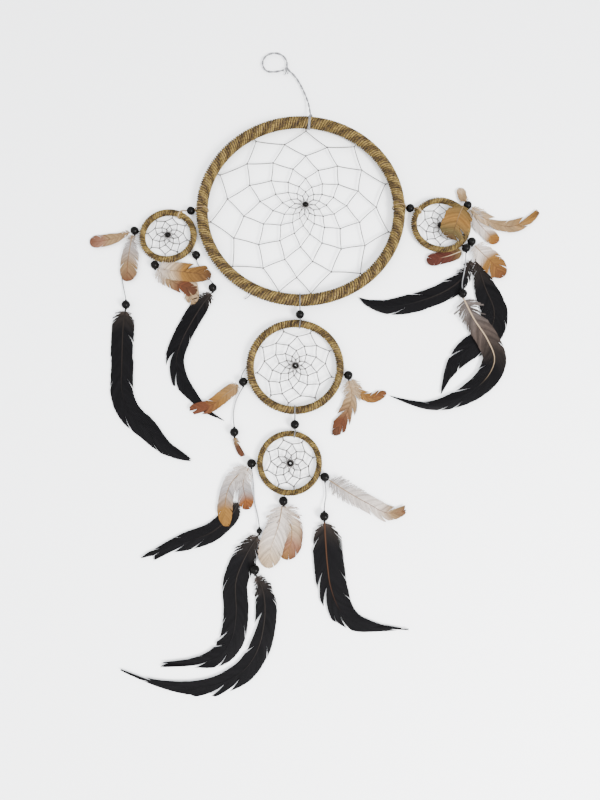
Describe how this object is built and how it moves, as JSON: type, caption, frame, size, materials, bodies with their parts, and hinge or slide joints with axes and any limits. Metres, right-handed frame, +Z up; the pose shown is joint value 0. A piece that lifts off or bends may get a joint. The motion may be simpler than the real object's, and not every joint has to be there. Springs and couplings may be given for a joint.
{
  "type": "dream catcher",
  "caption": "Hanging dream catcher: twine-wrapped hoops with knotted thread nets, black wooden beads, and black and brown feathers on cords.",
  "frame": {"origin": "middle of the footprint of the piece lying flat, on the surface it lies on, cords left out", "axes": "+Z up from the surface toward the viewer's side, +Y along the longest way toward the hanging eye, +X to the right seen from above"},
  "size_m": [0.4306, 0.6087, 0.0135],
  "materials": {
    "twine": "matte",
    "ring": "matte",
    "thread": "matte",
    "cord": "matte",
    "bead_black": "gloss",
    "feather_black": "satin",
    "feather_brown": "matte"
  },
  "bodies": {
    "big_hoop": {"big_ring": "ring", "big_wrap": "twine", "big_net": "thread", "big_beads": "bead_black", "left_link": "cord", "right_link": "cord"},
    "hanger": {"hanging_cord": "cord"},
    "middle_hoop": {"middle_ring": "ring", "middle_wrap": "twine", "middle_net": "thread", "middle_beads": "bead_black", "middle_link": "cord", "string_m1": "cord"},
    "middle_slider": {"middle_link_bead": "bead_black"},
    "bottom_hoop": {"bottom_ring": "ring", "bottom_wrap": "twine", "bottom_net": "thread", "bottom_beads": "bead_black", "bottom_link": "cord", "string_b1": "cord", "string_b2": "cord", "string_b3": "cord"},
    "bottom_slider": {"bottom_link_bead": "bead_black"},
    "left_hoop": {"left_ring": "ring", "left_wrap": "twine", "left_net": "thread", "left_beads": "bead_black", "string_l1": "cord", "string_l3": "cord"},
    "right_hoop": {"right_ring": "ring", "right_wrap": "twine", "right_net": "thread", "right_beads": "bead_black", "small_feathers_right_hoop": "feather_brown"},
    "left_tuft": {"small_feathers_l1": "feather_brown"},
    "left_lower_tuft": {"small_feathers_l2": "feather_brown"},
    "left_outer_drop": {"black_feather_l1": "feather_black", "drop_bead_l1b": "bead_black"},
    "left_inner_drop": {"black_feather_l3": "feather_black", "drop_bead_l3b": "bead_black"},
    "middle_left_tuft": {"small_feathers_m1": "feather_brown"},
    "middle_drop": {"small_feather_m1b": "feather_brown", "drop_bead_m1b": "bead_black"},
    "middle_right_tuft": {"small_feathers_m2": "feather_brown"},
    "bottom_left_tuft": {"small_feathers_b1": "feather_brown", "black_feather_b1": "feather_black"},
    "bottom_inner_drop": {"black_feather_b1c": "feather_black", "drop_bead_b1c": "bead_black"},
    "bottom_middle_tuft": {"small_feathers_b2": "feather_brown"},
    "bottom_long_drop": {"black_feather_b4": "feather_black", "drop_bead_b4": "bead_black"},
    "bottom_right_tuft": {"small_feathers_b3": "feather_brown"},
    "bottom_right_drop": {"black_feather_b3b": "feather_black", "drop_bead_b3b": "bead_black"},
    "right_tuft": {"small_feathers_r1": "feather_brown"},
    "right_lower_tuft": {"small_feathers_r2": "feather_brown", "black_feathers_r2": "feather_black", "string_r3": "cord"},
    "right_drop": {"black_feather_r3": "feather_black", "drop_bead_r3": "bead_black"}
  },
  "joints": [
    {"name": "hanger_swing", "type": "hinge", "parent": "big_hoop", "child": "hanger", "pos_m": [-0.00556, 0.25744, 0.00675], "axis": [0.9949, -0.1008, 0], "range_deg": [0, 150]},
    {"name": "middle_hoop_swing", "type": "hinge", "parent": "big_hoop", "child": "middle_hoop", "pos_m": [-0.01506, 0.06952, 0.00675], "axis": [-1, 0, 0], "range_deg": [0, 75]},
    {"name": "bottom_hoop_swing", "type": "hinge", "parent": "middle_hoop", "child": "bottom_hoop", "pos_m": [-0.02006, -0.03318, 0.00475], "axis": [-1, 0, 0], "range_deg": [0, 45]},
    {"name": "left_hoop_swing", "type": "hinge", "parent": "big_hoop", "child": "left_hoop", "pos_m": [-0.12006, 0.16141, 0.00555], "axis": [-1, 0, 0], "range_deg": [0, 85]},
    {"name": "right_hoop_swing", "type": "hinge", "parent": "big_hoop", "child": "right_hoop", "pos_m": [0.09004, 0.16422, 0.00555], "axis": [-1, 0, 0], "range_deg": [0, 85]},
    {"name": "middle_bead_slide", "type": "slide", "parent": "middle_hoop", "child": "middle_slider", "axis": [0, 1, 0], "range_m": [0, 0.003]},
    {"name": "bottom_bead_slide", "type": "slide", "parent": "bottom_hoop", "child": "bottom_slider", "axis": [0, 1, 0], "range_m": [0, 0.004]},
    {"name": "left_tuft_lift", "type": "hinge", "parent": "left_hoop", "child": "left_tuft", "pos_m": [-0.17259, 0.14071, 0.00505], "axis": [-1, 0, 0], "range_deg": [0, 80]},
    {"name": "left_lower_tuft_lift", "type": "hinge", "parent": "left_hoop", "child": "left_lower_tuft", "pos_m": [-0.1514, 0.10545, 0.00505], "axis": [0, -1, 0], "range_deg": [0, 80]},
    {"name": "left_outer_drop_lift", "type": "hinge", "parent": "left_hoop", "child": "left_outer_drop", "pos_m": [-0.17579, 0.06591, 0.00505], "axis": [-1, 0, 0], "range_deg": [0, 80]},
    {"name": "left_inner_drop_lift", "type": "hinge", "parent": "left_hoop", "child": "left_inner_drop", "pos_m": [-0.09648, 0.08259, 0.00505], "axis": [-1, 0, 0], "range_deg": [0, 80]},
    {"name": "middle_left_tuft_lift", "type": "hinge", "parent": "middle_hoop", "child": "middle_left_tuft", "pos_m": [-0.06632, -0.00737, 0.00505], "axis": [0, 1, 0], "range_deg": [0, 80]},
    {"name": "middle_drop_lift", "type": "hinge", "parent": "middle_hoop", "child": "middle_drop", "pos_m": [-0.07292, -0.05277, 0.00505], "axis": [-1, 0, 0], "range_deg": [0, 80]},
    {"name": "middle_right_tuft_lift", "type": "hinge", "parent": "middle_hoop", "child": "middle_right_tuft", "pos_m": [0.0277, -0.00121, 0.00505], "axis": [-1, 0, 0], "range_deg": [0, 80]},
    {"name": "bottom_left_tuft_lift", "type": "hinge", "parent": "bottom_hoop", "child": "bottom_left_tuft", "pos_m": [-0.05746, -0.07996, 0.00505], "axis": [-1, 0, 0], "range_deg": [0, 80]},
    {"name": "bottom_inner_drop_lift", "type": "hinge", "parent": "bottom_hoop", "child": "bottom_inner_drop", "pos_m": [-0.04986, -0.13676, 0.00355], "axis": [-1, 0, 0], "range_deg": [0, 80]},
    {"name": "bottom_middle_tuft_lift", "type": "hinge", "parent": "bottom_hoop", "child": "bottom_middle_tuft", "pos_m": [-0.02971, -0.11188, 0.00505], "axis": [-1, 0, 0], "range_deg": [0, 80]},
    {"name": "bottom_long_drop_lift", "type": "hinge", "parent": "bottom_hoop", "child": "bottom_long_drop", "pos_m": [-0.05291, -0.16788, 0.00505], "axis": [-1, 0, 0], "range_deg": [0, 80]},
    {"name": "bottom_right_tuft_lift", "type": "hinge", "parent": "bottom_hoop", "child": "bottom_right_tuft", "pos_m": [0.00576, -0.09163, 0.00505], "axis": [-1, 0, 0], "range_deg": [0, 80]},
    {"name": "bottom_right_drop_lift", "type": "hinge", "parent": "bottom_hoop", "child": "bottom_right_drop", "pos_m": [0.00496, -0.12463, 0.00505], "axis": [-1, 0, 0], "range_deg": [0, 80]},
    {"name": "right_tuft_lift", "type": "hinge", "parent": "right_hoop", "child": "right_tuft", "pos_m": [0.1453, 0.16756, 0.00505], "axis": [0, -1, 0], "range_deg": [0, 80]},
    {"name": "right_lower_tuft_lift", "type": "hinge", "parent": "right_hoop", "child": "right_lower_tuft", "pos_m": [0.1438, 0.12607, 0.00505], "axis": [-1, 0, 0], "range_deg": [0, 80]},
    {"name": "right_drop_lift", "type": "hinge", "parent": "right_lower_tuft", "child": "right_drop", "pos_m": [0.13498, 0.07677, 0.00505], "axis": [-1, 0, 0], "range_deg": [0, 60]}
  ]
}
